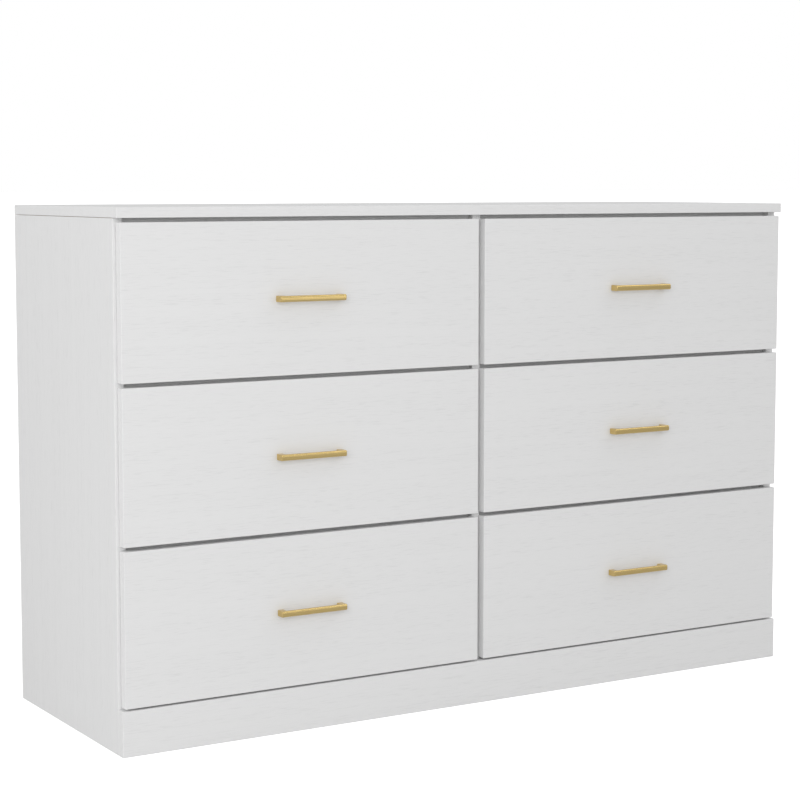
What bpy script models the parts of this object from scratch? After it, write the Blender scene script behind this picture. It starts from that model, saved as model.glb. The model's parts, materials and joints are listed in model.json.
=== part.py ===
"""Six-drawer dresser: a melamine-board carcass on a plinth, with six slide-out drawers in two columns.

Units are metres. +X is to the right as seen from the front, +Y goes to the back and +Z is up. The origin is
on the floor, in the middle of the footprint that the boards and the handles cover together.
"""

import bmesh
import bpy
from mathutils import Matrix, Vector

# Overall sizes
WIDTH = 1.200
DEPTH = 0.395  # from the drawer fronts' faces to the rear edge, without the handles
HEIGHT = 0.7725

# Boards and sheets
BOARD = 0.015  # top, sides, divider, bottom, plinth and drawer fronts
DRAWER_BOARD = 0.012  # sides and back of a drawer box
BACK_SHEET = 0.003
DRAWER_SHEET = 0.003

# Clearances
FIT = 0.0003  # between two pieces that touch
GROOVE_PLAY = 0.0004  # on each side of a sheet in its groove
FRONT_STAND_OFF = 0.001  # from a drawer front's rear face to the carcass, for the bumpers
RUNNER_SPACE = 0.0125  # from the carcass wall to the drawer box, for a side-mounted slide
RUNNER_FRONT_SETBACK = 0.002
RUNNER_REAR_CLEARANCE = 0.012
DRAWER_REAR_CLEARANCE = 0.020

# Plinth and the gaps between the fronts
PLINTH_HEIGHT = 0.066
PLINTH_GAP = 0.003  # between the plinth and the lowest fronts
ROW_GAP = 0.006  # above each front
CENTRE_GAP = 0.011  # between the two columns of fronts
SIDE_REVEAL = 0.0045  # from a front's outer end to the outside of the carcass
REAR_RAIL_SETBACK = 0.030

# Crossbars: rails from side to side behind the gaps between the rows, through mortises in the divider
CROSSBAR_HEIGHT = 0.035
CROSSBAR_SETBACK = 0.009  # from the carcass's front edges
CROSSBAR_TO_BOX = 0.008  # from a crossbar up to the drawer box above it

# Grooves and the back
SIDE_GROOVE = 0.006  # depth of the grooves that hold the back
DRAWER_GROOVE = 0.005  # depth of the grooves that hold a drawer bottom
BACK_INSET = 0.012  # from the rear edge to the back sheet's outer face
BACK_JOINT = 0.002  # between the two back sheets, for the strip that holds them together
STRIP_SPACE = 0.0015  # from the divider to the back sheets, for the same strip

# Drawer boxes
BOX_ABOVE_FRONT_EDGE = 0.020  # the box starts this far above its front's lower edge
BOX_BELOW_FRONT_TOP = 0.0535  # and ends this far below its front's upper edge
SHEET_LIFT = 0.010  # from the box's lower edge to the drawer bottom

# Runners: a channel folded from sheet steel, open towards the drawer
RUNNER_HEIGHT = 0.035
RUNNER_BOX_CLEARANCE = 0.0027  # from the channel's lips to the drawer box
RUNNER_DEPTH = RUNNER_SPACE - FIT - RUNNER_BOX_CLEARANCE
RUNNER_WALL = 0.0012
RUNNER_LIP = 0.004
RUNNER_LIFT = 0.045  # from the box's lower edge to the runner's centre line

# Handles: square bar bridges with a leg at each end
HANDLE_LENGTH = 0.108
HANDLE_HEIGHT = 0.009
HANDLE_PROJECTION = 0.016
HANDLE_BAR = 0.0055  # the bar's thickness, front to back
HANDLE_LEG = 0.009
HANDLE_ROUNDING = 0.0008

CUT_OVERRUN = 0.002  # how far a cutter stands past the face that it opens

ROWS = ("bottom", "middle", "top")
COLUMNS = {"left": -1, "right": 1}

# Places that several pieces share
FRONT_Y = (HANDLE_PROJECTION - DEPTH) / 2
BACK_Y = FRONT_Y + DEPTH
FRONT_REAR_Y = FRONT_Y + BOARD
CARCASS_FRONT_Y = FRONT_REAR_Y + FRONT_STAND_OFF
SHEET_REAR_Y = BACK_Y - BACK_INSET
SHEET_FRONT_Y = SHEET_REAR_Y - BACK_SHEET
BOX_REAR_Y = SHEET_FRONT_Y - DRAWER_REAR_CLEARANCE
WALL_X = WIDTH / 2 - BOARD  # inner face of a side panel
TOP_UNDERSIDE = HEIGHT - BOARD
FRONT_HEIGHT = (TOP_UNDERSIDE - PLINTH_HEIGHT - PLINTH_GAP) / len(ROWS) - ROW_GAP
FRONT_WIDTH = WIDTH / 2 - SIDE_REVEAL - CENTRE_GAP / 2


def material(name, colour, roughness, metallic=0.0):
    made = bpy.data.materials.new(name)
    made.use_nodes = True
    shader = made.node_tree.nodes["Principled BSDF"]
    shader.inputs["Base Color"].default_value = (*colour, 1.0)
    shader.inputs["Roughness"].default_value = roughness
    shader.inputs["Metallic"].default_value = metallic
    made.diffuse_color = (*colour, 1.0)
    return made


def new_object(name, mesh_source, place, finish, parent=None):
    """An object whose mesh is drawn about its own origin, which stands at place in the world."""
    mesh = bpy.data.meshes.new(name)
    mesh_source.to_mesh(mesh)
    mesh_source.free()
    made = bpy.data.objects.new(name, mesh)
    bpy.context.scene.collection.objects.link(made)
    made.location = place if parent is None else place - parent.location
    made.parent = parent
    if finish:
        mesh.materials.append(finish)
    return made


def block(name, x, y, z, finish=None, parent=None):
    """A board between two limits in each direction."""
    low, high = Vector((x[0], y[0], z[0])), Vector((x[1], y[1], z[1]))
    shape = bmesh.new()
    bmesh.ops.create_cube(shape, size=1.0, matrix=Matrix.Diagonal((*(high - low), 1.0)))
    return new_object(name, shape, (low + high) / 2, finish, parent)


def cut(target, name, x, y, z):
    """Takes a box out of target with a Boolean whose cutter stays in the file as a wire helper."""
    cutter = block(name, x, y, z)
    cutter.hide_render = True
    cutter.display_type = "WIRE"
    boolean = target.modifiers.new(name, "BOOLEAN")
    boolean.operation = "DIFFERENCE"
    boolean.solver = "EXACT"
    boolean.object = cutter


def extrusion(name, outline, direction, centre, finish, parent=None):
    """A closed outline drawn about the origin, extruded along direction and centred on centre."""
    shape = bmesh.new()
    start = [shape.verts.new(Vector(point) - Vector(direction) / 2) for point in outline]
    face = shape.faces.new(start)
    grown = bmesh.ops.extrude_face_region(shape, geom=[face])
    moved = [part for part in grown["geom"] if isinstance(part, bmesh.types.BMVert)]
    bmesh.ops.translate(shape, verts=moved, vec=direction)
    bmesh.ops.recalc_face_normals(shape, faces=shape.faces)
    return new_object(name, shape, Vector(centre), finish, parent)


def carcass(board, sheet):
    panel_x = (-WALL_X + FIT, WALL_X - FIT)
    panel_z = (PLINTH_HEIGHT - BOARD, PLINTH_HEIGHT)
    under_panel = (0.0, panel_z[0] - FIT)
    above_panel = (PLINTH_HEIGHT + FIT, TOP_UNDERSIDE - FIT)
    groove_y = (SHEET_FRONT_Y - GROOVE_PLAY, SHEET_REAR_Y + GROOVE_PLAY)
    groove_x = WALL_X + SIDE_GROOVE

    top = block("top_panel", (-WIDTH / 2, WIDTH / 2), (FRONT_Y, BACK_Y), (TOP_UNDERSIDE, HEIGHT), board)
    top_groove = (TOP_UNDERSIDE - CUT_OVERRUN, TOP_UNDERSIDE + SIDE_GROOVE)
    cut(top, "top_back_groove", (-groove_x, groove_x), groove_y, top_groove)

    for side, sign in COLUMNS.items():
        outer = sorted((sign * WALL_X, sign * WIDTH / 2))
        wall = block(f"side_panel_{side}", outer, (CARCASS_FRONT_Y, BACK_Y), (0.0, TOP_UNDERSIDE - FIT), board)
        groove = sorted((sign * (WALL_X - CUT_OVERRUN), sign * groove_x))
        cut(wall, f"side_{side}_back_groove", groove, groove_y, (-CUT_OVERRUN, TOP_UNDERSIDE + CUT_OVERRUN))

    divider_y = (CARCASS_FRONT_Y, SHEET_FRONT_Y - STRIP_SPACE)
    divider = block("centre_divider", (-BOARD / 2, BOARD / 2), divider_y, above_panel, board)
    bar_front = CARCASS_FRONT_Y + CROSSBAR_SETBACK
    bar_y = (bar_front, bar_front + BOARD)
    mortise_y = (bar_y[0] - FIT, bar_y[1] + FIT)
    mortise_x = (-BOARD / 2 - CUT_OVERRUN, BOARD / 2 + CUT_OVERRUN)
    for name, upper in crossbar_levels().items():
        bar_z = (upper - CROSSBAR_HEIGHT, upper)
        block(name, panel_x, bar_y, bar_z, board)
        cut(divider, f"{name}_mortise", mortise_x, mortise_y, (bar_z[0] - FIT, bar_z[1] + FIT))
    block("bottom_panel", panel_x, (CARCASS_FRONT_Y, SHEET_FRONT_Y - FIT), panel_z, board)

    plinth_rear_face = CARCASS_FRONT_Y - FIT
    plinth_y = (plinth_rear_face - BOARD, plinth_rear_face)
    block("plinth_front", (-WIDTH / 2, WIDTH / 2), plinth_y, (0.0, PLINTH_HEIGHT), board)
    rail_y = (SHEET_FRONT_Y - REAR_RAIL_SETBACK - BOARD, SHEET_FRONT_Y - REAR_RAIL_SETBACK)
    block("plinth_rear", panel_x, rail_y, under_panel, board)

    back_z = (panel_z[0], TOP_UNDERSIDE + SIDE_GROOVE - GROOVE_PLAY)
    for side, sign in COLUMNS.items():
        span = sorted((sign * BACK_JOINT / 2, sign * (groove_x - GROOVE_PLAY)))
        block(f"back_panel_{side}", span, (SHEET_FRONT_Y, SHEET_REAR_Y), back_z, sheet)


def crossbar_levels():
    """The upper edge of each crossbar, by its name."""
    above = {"crossbar_lower": "middle", "crossbar_upper": "top"}
    levels = {name: box_span(front_span(row))[0] - CROSSBAR_TO_BOX for name, row in above.items()}
    return {**levels, "crossbar_top": TOP_UNDERSIDE - FIT}


def front_span(row):
    """The lower and upper edge of a row's drawer fronts."""
    low = PLINTH_HEIGHT + PLINTH_GAP + ROWS.index(row) * (FRONT_HEIGHT + ROW_GAP)
    return (low, low + FRONT_HEIGHT)


def box_span(front_z):
    """The lower and upper edge of the drawer box behind a front."""
    return (front_z[0] + BOX_ABOVE_FRONT_EDGE, front_z[1] - BOX_BELOW_FRONT_TOP)


def runner(name, wall_x, towards, centre_z, steel):
    """A cabinet-side runner: a C channel on a wall at wall_x, with its mouth towards the drawer."""
    half, lip = RUNNER_HEIGHT / 2, RUNNER_HEIGHT / 2 - RUNNER_LIP
    inner = half - RUNNER_WALL
    upper = [
        (RUNNER_WALL, inner),
        (RUNNER_DEPTH - RUNNER_WALL, inner),
        (RUNNER_DEPTH - RUNNER_WALL, lip),
        (RUNNER_DEPTH, lip),
        (RUNNER_DEPTH, half),
        (0.0, half),
    ]
    outline = upper + [(x, -z) for x, z in reversed(upper)]
    start = CARCASS_FRONT_Y + RUNNER_FRONT_SETBACK
    end = SHEET_FRONT_Y - RUNNER_REAR_CLEARANCE
    centre = (wall_x + towards * FIT, (start + end) / 2, centre_z)
    points = [(towards * x, 0.0, z) for x, z in outline]
    extrusion(name, points, (0, end - start, 0), centre, steel)


def handle(name, centre_x, centre_z, gold, parent):
    """A bridge handle: a square bar with a leg at each end, seen from above as a wide, shallow U."""
    half, inside = HANDLE_LENGTH / 2, HANDLE_LENGTH / 2 - HANDLE_LEG
    depth = HANDLE_PROJECTION - FIT
    bar_rear = HANDLE_BAR - depth
    outline = [(-half, 0), (-inside, 0), (-inside, bar_rear), (inside, bar_rear), (inside, 0), (half, 0)]
    outline = outline + [(half, -depth), (-half, -depth)]
    centre = (centre_x, FRONT_Y - FIT, centre_z)
    made = extrusion(name, [(x, y, 0.0) for x, y in outline], (0, 0, HANDLE_HEIGHT), centre, gold, parent)
    rounding = made.modifiers.new("rounding", "BEVEL")
    rounding.width = HANDLE_ROUNDING
    rounding.segments = 2
    rounding.limit_method = "ANGLE"
    made.data.shade_smooth()
    made.data.set_sharp_from_angle(angle=0.6)


def drawer(row, column, finishes):
    """One drawer and its two runners. The empty on its slide axis carries every piece that moves."""
    name = f"drawer_{row}_{column}"
    sign = COLUMNS[column]
    front_x = sorted((sign * CENTRE_GAP / 2, sign * (CENTRE_GAP / 2 + FRONT_WIDTH)))
    front_z = front_span(row)
    walls = sorted((sign * BOARD / 2, sign * WALL_X))
    box_x = (walls[0] + RUNNER_SPACE, walls[1] - RUNNER_SPACE)
    box_y = (FRONT_REAR_Y + FIT, BOX_REAR_Y)
    box_z = box_span(front_z)
    inner_x = (box_x[0] + DRAWER_BOARD, box_x[1] - DRAWER_BOARD)
    sheet_z = (box_z[0] + SHEET_LIFT, box_z[0] + SHEET_LIFT + DRAWER_SHEET)
    groove_z = (sheet_z[0] - GROOVE_PLAY, sheet_z[1] + GROOVE_PLAY)
    groove_x = (inner_x[0] - DRAWER_GROOVE, inner_x[1] + DRAWER_GROOVE)

    axis = bpy.data.objects.new(f"{name}_slide_axis", None)
    axis.location = (sum(box_x) / 2, FRONT_Y, sum(front_z) / 2)
    bpy.context.scene.collection.objects.link(axis)

    front = block(f"{name}_front", front_x, (FRONT_Y, FRONT_REAR_Y), front_z, finishes["board"], axis)
    front_groove_y = (FRONT_REAR_Y - DRAWER_GROOVE, FRONT_REAR_Y + CUT_OVERRUN)
    cut(front, f"{name}_front_groove", groove_x, front_groove_y, groove_z)

    for side, edge_x, inner, towards in (("left", box_x[0], inner_x[0], -1), ("right", box_x[1], inner_x[1], 1)):
        span = sorted((edge_x, inner))
        wall = block(f"{name}_side_{side}", span, box_y, box_z, finishes["drawer_board"], axis)
        groove = sorted((inner - towards * CUT_OVERRUN, inner + towards * DRAWER_GROOVE))
        along = (box_y[0] - CUT_OVERRUN, box_y[1] + CUT_OVERRUN)
        cut(wall, f"{name}_side_{side}_groove", groove, along, groove_z)

    back_x = (inner_x[0] + FIT, inner_x[1] - FIT)
    back_z = (sheet_z[1] + FIT, box_z[1])
    block(f"{name}_back", back_x, (BOX_REAR_Y - DRAWER_BOARD, BOX_REAR_Y), back_z, finishes["drawer_board"], axis)
    sheet_x = (groove_x[0] + GROOVE_PLAY, groove_x[1] - GROOVE_PLAY)
    sheet_y = (front_groove_y[0] + GROOVE_PLAY, BOX_REAR_Y)
    block(f"{name}_bottom", sheet_x, sheet_y, sheet_z, finishes["sheet"], axis)
    handle(f"{name}_handle", sum(front_x) / 2, sum(front_z) / 2, finishes["gold"], axis)

    runner_z = box_z[0] + RUNNER_LIFT
    runner(f"runner_{row}_{column}_left", walls[0], 1, runner_z, finishes["steel"])
    runner(f"runner_{row}_{column}_right", walls[1], -1, runner_z, finishes["steel"])


def main():
    for old in list(bpy.data.objects):
        bpy.data.objects.remove(old)
    finishes = {
        "board": material("white_wood_grain_melamine", (0.80, 0.80, 0.79), 0.50),
        "drawer_board": material("plain_white_melamine", (0.76, 0.76, 0.74), 0.45),
        "sheet": material("hardboard", (0.36, 0.22, 0.13), 0.75),
        "gold": material("brushed_gold_plate", (0.72, 0.48, 0.20), 0.35, 1.0),
        "steel": material("white_powder_coated_steel", (0.80, 0.79, 0.76), 0.45),
    }
    carcass(finishes["board"], finishes["sheet"])
    for row in ROWS:
        for column in COLUMNS:
            drawer(row, column, finishes)
    bpy.context.view_layer.update()


main()
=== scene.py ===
"""Visible surfaces of a six-drawer dresser: foiled boards, drawers on roller slides, handles and fittings."""

import functools
import json
import math

import bmesh
import bpy
from bpy.props import FloatProperty, FloatVectorProperty, IntProperty, PointerProperty
from mathutils import Matrix, Vector

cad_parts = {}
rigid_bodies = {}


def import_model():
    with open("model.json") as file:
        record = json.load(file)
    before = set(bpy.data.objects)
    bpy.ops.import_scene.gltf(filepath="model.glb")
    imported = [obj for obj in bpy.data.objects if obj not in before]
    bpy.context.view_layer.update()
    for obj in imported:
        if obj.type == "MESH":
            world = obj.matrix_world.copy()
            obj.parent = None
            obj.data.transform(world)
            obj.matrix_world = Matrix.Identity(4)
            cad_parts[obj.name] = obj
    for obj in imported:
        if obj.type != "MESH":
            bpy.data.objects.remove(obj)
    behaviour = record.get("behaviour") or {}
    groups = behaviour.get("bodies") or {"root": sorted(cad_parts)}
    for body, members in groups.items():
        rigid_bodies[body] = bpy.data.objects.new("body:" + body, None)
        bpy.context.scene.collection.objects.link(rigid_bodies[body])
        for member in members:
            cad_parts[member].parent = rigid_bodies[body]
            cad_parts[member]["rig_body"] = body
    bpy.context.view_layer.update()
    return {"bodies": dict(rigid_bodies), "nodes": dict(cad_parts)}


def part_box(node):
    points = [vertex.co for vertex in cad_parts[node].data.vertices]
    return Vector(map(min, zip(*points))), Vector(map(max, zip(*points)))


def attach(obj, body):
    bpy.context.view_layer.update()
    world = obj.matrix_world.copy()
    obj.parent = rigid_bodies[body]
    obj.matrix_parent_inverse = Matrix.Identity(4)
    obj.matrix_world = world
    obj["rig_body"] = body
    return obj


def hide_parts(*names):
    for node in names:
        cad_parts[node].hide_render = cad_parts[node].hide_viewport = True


bl_info = {
    "name": "Six-drawer dresser",
    "version": (1, 0, 0),
    "blender": (4, 5, 0),
    "location": "3D View > Sidebar > Dresser",
    "description": "Builds the visible boards, drawers, slides and fittings of a dresser on its packed frame",
    "category": "Object",
}

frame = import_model()

X, Y, Z = Vector((1, 0, 0)), Vector((0, 1, 0)), Vector((0, 0, 1))
MM = 0.001
NEAR = 0.01 * MM  # two places this close are the same place
SEAT = 0.3 * MM  # the gap that the frame leaves between two pieces that touch

CARCASS = "carcass"
DRAWERS = sorted(body for body in frame["bodies"] if body != CARCASS)
SIDES = {"left": -1, "right": 1}
CROSSBARS = ("crossbar_lower", "crossbar_upper", "crossbar_top")
SLIDE_ENDS = (1.0 * MM, 1.5 * MM)  # how far a rail stops short of its drawer side, in front and behind
ROLLER_INSET = 12 * MM  # from a roller's axle to the near end of its rail
ROLLER_PLAY = 1.2 * MM  # between a roller and the web of the channel
FRONT_ROLLER, REAR_ROLLER = 0.5 * MM, -8.8 * MM  # heights over a slide's centre line
CHANNEL_SCREWS, RAIL_SCREWS = 3.6 * MM, -2.6 * MM  # heights too
RAIL_TOP, RAIL_TRACK, RAIL_FOOT, RAIL_TAB = 12 * MM, 8 * MM, -8 * MM, -13 * MM  # heights too
TAB_LENGTH = 24 * MM  # of the part at a rail's rear end that holds its roller
TRACK_EDGE = 2.7 * MM  # from the wall to the edge of the track that a roller runs on
AXLE_RADIUS, RIVET_RADIUS = 1.9 * MM, 3.1 * MM
NAIL_MARGIN = 60 * MM
CAM_BOLT = 34 * MM  # from a cam's centre to the end of its board
BUMPER_INSET = 18 * MM  # from a bumper to the edge of its drawer front
CAMERA_PLACE, CAMERA_AIM = Vector((-1.7044, -2.7715, 0.8026)), Vector((0.5146, 0.8527, -0.0901))
CAMERA_SHIFT = -0.0398
FLOOR_GLOW = 0.85  # how much brighter the floor shows than it lights
FACE, BAND, RAW = 0, 1, 2  # a board's material slots: foiled faces, banded edges and sawn edges


# Sizes and colours that a user would change


def linear(hex_colour):
    """An sRGB hex colour as linear red, green and blue."""
    shares = [int(hex_colour[i : i + 2], 16) / 255 for i in (0, 2, 4)]
    return tuple(s / 12.92 if s <= 0.04045 else ((s + 0.055) / 1.055) ** 2.4 for s in shares)


def length(name, description, default):
    settings = {"min": 0.0, "precision": 5, "unit": "LENGTH"}
    return FloatProperty(name=name, description=description, default=default, **settings)


def colour(name, description, hex_colour):
    settings = {"default": linear(hex_colour), "min": 0, "max": 1, "subtype": "COLOR"}
    return FloatVectorProperty(name=name, description=description, **settings)


def power(name, description, default):
    return FloatProperty(name=name, description=description, default=default, min=0.0, unit="POWER")


class DresserSizes(bpy.types.PropertyGroup):
    """Sizes of the details that the frame leaves open."""

    band_rounding: length("Edge band rounding", "Radius along the edges of the outer boards", 1.0 * MM)
    box_rounding: length("Box edge rounding", "Radius along the banded edges of a drawer box", 0.6 * MM)
    groove_play: length("Groove play", "Clearance on each side of a sheet in its groove", 0.4 * MM)
    handle_bar: length("Handle bar", "Thickness of a handle's bar, front to back", 5.5 * MM)
    handle_leg: length("Handle leg", "Width of a handle's leg", 9.0 * MM)
    handle_nose: length("Handle nose", "Radius along the long front edges of a handle's bar", 2.8 * MM)
    handle_rounding: length("Handle rounding", "Radius along a handle's other outer edges", 0.7 * MM)
    handle_fillet: length("Handle fillet", "Radius where a handle's bar meets its legs", 1.5 * MM)
    rail_sheet: length("Rail sheet", "Thickness of the steel that the slides are rolled from", 1.2 * MM)
    rail_bend: length("Rail bend", "Outer radius of the bends in that steel", 1.8 * MM)
    rail_lip: length("Rail lip", "Height of the lips of a cabinet rail", 4.0 * MM)
    roller_radius: length("Roller radius", "Radius of the slides' nylon rollers", 7.4 * MM)
    roller_width: length("Roller width", "Width of the slides' nylon rollers", 5.6 * MM)
    pan_radius: length("Pan head radius", "Radius of the screws that hold the slides", 3.3 * MM)
    cam_radius: length("Cam radius", "Radius of the cam fittings in the outer boards", 7.5 * MM)
    box_cam_radius: length("Box cam radius", "Radius of the cam fittings in the drawer boxes", 6.0 * MM)
    bumper_radius: length("Bumper radius", "Radius of the bumpers behind the drawer fronts", 3.5 * MM)
    strip_width: length("Strip width", "Width of the strip that joins the back sheets", 18.0 * MM)
    strip_flange: length("Strip flange", "Thickness of that strip's flanges", 0.8 * MM)
    nails: IntProperty(name="Nails", description="Nails along the foot of each back sheet", default=6, min=2)


class DresserColours(bpy.types.PropertyGroup):
    """Colours of the finishes."""

    foil: colour("Foil", "White wood-grain foil on the outer boards", "EEEEEE")
    foil_grain: colour("Foil grain", "Darker tone in the foil's grain", "E6E6E6")
    box_foil: colour("Box foil", "Plain foil on the drawer boxes", "E9E9E5")
    lacquer: colour("Lacquer", "White lacquer on the inner face of the thin sheets", "E4E3DF")
    hardboard: colour("Hardboard", "Raw outer face of the thin sheets", "A07C56")
    chip: colour("Chipboard", "Sawn edges of the boards", "D8C09C")
    gold: colour("Gold plate", "Handles", "DFC484")
    powder: colour("Powder coat", "Slides", "EBEAE4")
    nylon: colour("Nylon", "Rollers", "E8E5DB")
    zinc: colour("Zinc plate", "Screws, axles and nails", "C3C6CA")
    casting: colour("Zinc casting", "Cam fittings", "A7A9AC")
    strip: colour("Strip", "Strip that joins the back sheets", "E3E3DE")
    bumper: colour("Bumper", "Bumpers behind the drawer fronts", "D2D2CE")
    floor: colour("Floor", "Studio floor", "D8D8D8")


class DresserStudio(bpy.types.PropertyGroup):
    """Lamps and lens of the studio."""

    key: power("Key lamp", "Soft lamp in front, to the left and above", 26.6)
    side: power("Side lamp", "Soft lamp beside the left-hand panel", 10.5)
    high: power("High lamp", "Lamp above and to the right, that the handles' upper edges mirror", 7.5)
    front: power("Front lamp", "Low lamp that the left-hand handles mirror", 3.0)
    ambient: FloatProperty(name="Ambient", description="Light from all round the room", default=0.66, min=0.0)
    lens: FloatProperty(name="Lens", description="Focal length in millimetres", default=91.05, min=1.0)


# Materials

MIX_A, MIX_B, MIX_RESULT = 6, 7, 2  # the colour sockets of a Mix node, whose names its other types share


def feed(tree, node, inputs):
    """Sets inputs of a node, each to a plain value or to another node's output."""
    for name, value in inputs.items():
        if isinstance(value, bpy.types.NodeSocket):
            tree.links.new(value, node.inputs[name])
        else:
            node.inputs[name].default_value = value
    return node


def add(tree, kind, inputs, **settings):
    """One shader node with its settings and inputs."""
    node = tree.nodes.new("ShaderNode" + kind)
    for name, value in settings.items():
        setattr(node, name, value)
    return feed(tree, node, inputs)


def stretched(tree, place, width, along=None, run=None):
    """Coordinates in which one unit is width across the pattern and, if an axis is given, run along it."""
    sizes = {axis: 1 / width for axis in "XYZ"}
    if along:
        sizes[along] = 1 / run
    return add(tree, "Mapping", {"Vector": place, "Scale": tuple(sizes.values())}).outputs["Vector"]


def rgba(value):
    return (*value, 1.0)


@functools.cache
def finish(make, *options):
    """The material whose shader inputs one of the functions below gives, made once and then shared."""
    made = bpy.data.materials.new("_".join([make.__name__, *options]))
    made.use_nodes = True
    tree = made.node_tree
    place = add(tree, "TexCoord", {}).outputs["Object"]
    inputs = make(tree, place, bpy.context.scene.dresser_colours, *options)
    feed(tree, tree.nodes["Principled BSDF"], inputs)
    return made


def surface(colour_mix, gloss, relief, others=()):
    """The shader inputs that most finishes share, from the nodes that make them, and any others."""
    inputs = {"Base Color": colour_mix.outputs[MIX_RESULT], "Roughness": gloss.outputs["Result"]}
    return inputs | {"Normal": relief.outputs["Normal"]} | dict(others)


def wood_grain_melamine(tree, place, colours, along):
    """Foil printed and embossed with a white wood grain: satin, with faint long pores and growth bands.

    Real pores are 0.3 mm wide. These are 1.4 mm wide, as coarse as they need to be to show."""
    shift = add(tree, "Attribute", {}, attribute_name="board_shift").outputs["Vector"]
    place = add(tree, "VectorMath", {0: place, 1: shift}, operation="ADD").outputs["Vector"]
    pore_place = stretched(tree, place, 1.4 * MM, along, 26 * MM)
    pores = add(tree, "TexNoise", {"Vector": pore_place, "Scale": 1.0, "Detail": 2.5, "Roughness": 0.6})
    band_place = stretched(tree, place, 13 * MM, along, 480 * MM)
    bands = add(tree, "TexNoise", {"Vector": band_place, "Scale": 1.0, "Detail": 2.0, "Distortion": 0.8})
    tone_place = stretched(tree, place, 110 * MM, along, 500 * MM)
    tone = add(tree, "TexNoise", {"Vector": tone_place, "Scale": 1.0, "Detail": 1.0})
    walls = {"Value": pores.outputs["Fac"], "From Min": 0.52, "From Max": 0.70}
    cut = add(tree, "MapRange", walls, interpolation_type="SMOOTHSTEP")
    growth = {"Value": bands.outputs["Fac"], "From Min": 0.34, "From Max": 0.66, "To Min": 0.25}
    dense = add(tree, "MapRange", growth)
    deep = add(tree, "Math", {0: cut.outputs["Result"], 1: dense.outputs["Result"]}, operation="MULTIPLY")
    blend = {0: dense.outputs["Result"], 1: 0.16, 2: deep.outputs[0]}
    dark = add(tree, "Math", blend, operation="MULTIPLY_ADD")
    dark = add(tree, "Math", {0: tone.outputs["Fac"], 1: 0.12, 2: dark.outputs[0]}, operation="MULTIPLY_ADD")
    mix = {"Factor": dark.outputs[0], MIX_A: rgba(colours.foil), MIX_B: rgba(colours.foil_grain)}
    printed = add(tree, "Mix", mix, data_type="RGBA")
    gloss = add(tree, "MapRange", {"Value": deep.outputs[0], "To Min": 0.42, "To Max": 0.58})
    relief = {"Height": deep.outputs[0], "Strength": 0.12, "Distance": 0.10 * MM}
    emboss = add(tree, "Bump", relief, invert=True)
    return surface(printed, gloss, emboss, {"IOR": 1.5, "Specular IOR Level": 0.35})


def plain_melamine(tree, place, colours):
    """Plain white melamine pressed between steel plates: satin, with a fine pearl and faint clouds."""
    pearl = add(tree, "TexNoise", {"Vector": stretched(tree, place, 0.9 * MM), "Scale": 1.0, "Detail": 1.0})
    clouds = add(tree, "TexNoise", {"Vector": stretched(tree, place, 60 * MM), "Scale": 1.0, "Detail": 2.0})
    shade = add(tree, "MapRange", {"Value": clouds.outputs["Fac"], "To Max": 0.35})
    mix = {"Factor": shade.outputs["Result"], MIX_A: rgba(colours.box_foil), MIX_B: rgba(colours.foil_grain)}
    printed = add(tree, "Mix", mix, data_type="RGBA")
    relief = {"Height": pearl.outputs["Fac"], "Strength": 0.25, "Distance": 0.05 * MM}
    emboss = add(tree, "Bump", relief)
    gloss = add(tree, "MapRange", {"Value": pearl.outputs["Fac"], "To Min": 0.38, "To Max": 0.52})
    return surface(printed, gloss, emboss)


def sawn_chipboard(tree, place, colours):
    """Sawn chipboard: chips 2 to 4 mm long in resin, straw-coloured and rough, some dark, with open pits."""
    chip_place = stretched(tree, place, 1.5 * MM, "X", 3.4 * MM)
    flakes = add(tree, "TexVoronoi", {"Vector": chip_place, "Scale": 1.0})
    tone = add(tree, "SeparateColor", {"Color": flakes.outputs["Color"]})
    fibre = add(tree, "TexNoise", {"Vector": stretched(tree, place, 0.5 * MM), "Scale": 1.0, "Detail": 3.0})
    blend = {0: fibre.outputs["Fac"], 1: 0.5, 2: tone.outputs["Red"]}
    shade = add(tree, "Math", blend, operation="MULTIPLY_ADD")
    spread = add(tree, "MapRange", {"Value": shade.outputs[0], "From Min": 0.2, "From Max": 1.5})
    dark = tuple(0.55 * share for share in colours.chip)
    mix = {"Factor": spread.outputs["Result"], MIX_A: rgba(colours.chip), MIX_B: rgba(dark)}
    chips = add(tree, "Mix", mix, data_type="RGBA")
    pits = {"Height": shade.outputs[0], "Strength": 0.6, "Distance": 0.3 * MM}
    rough = add(tree, "Bump", pits, invert=True)
    return {"Base Color": chips.outputs[MIX_RESULT], "Roughness": 0.85, "Normal": rough.outputs["Normal"]}


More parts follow.
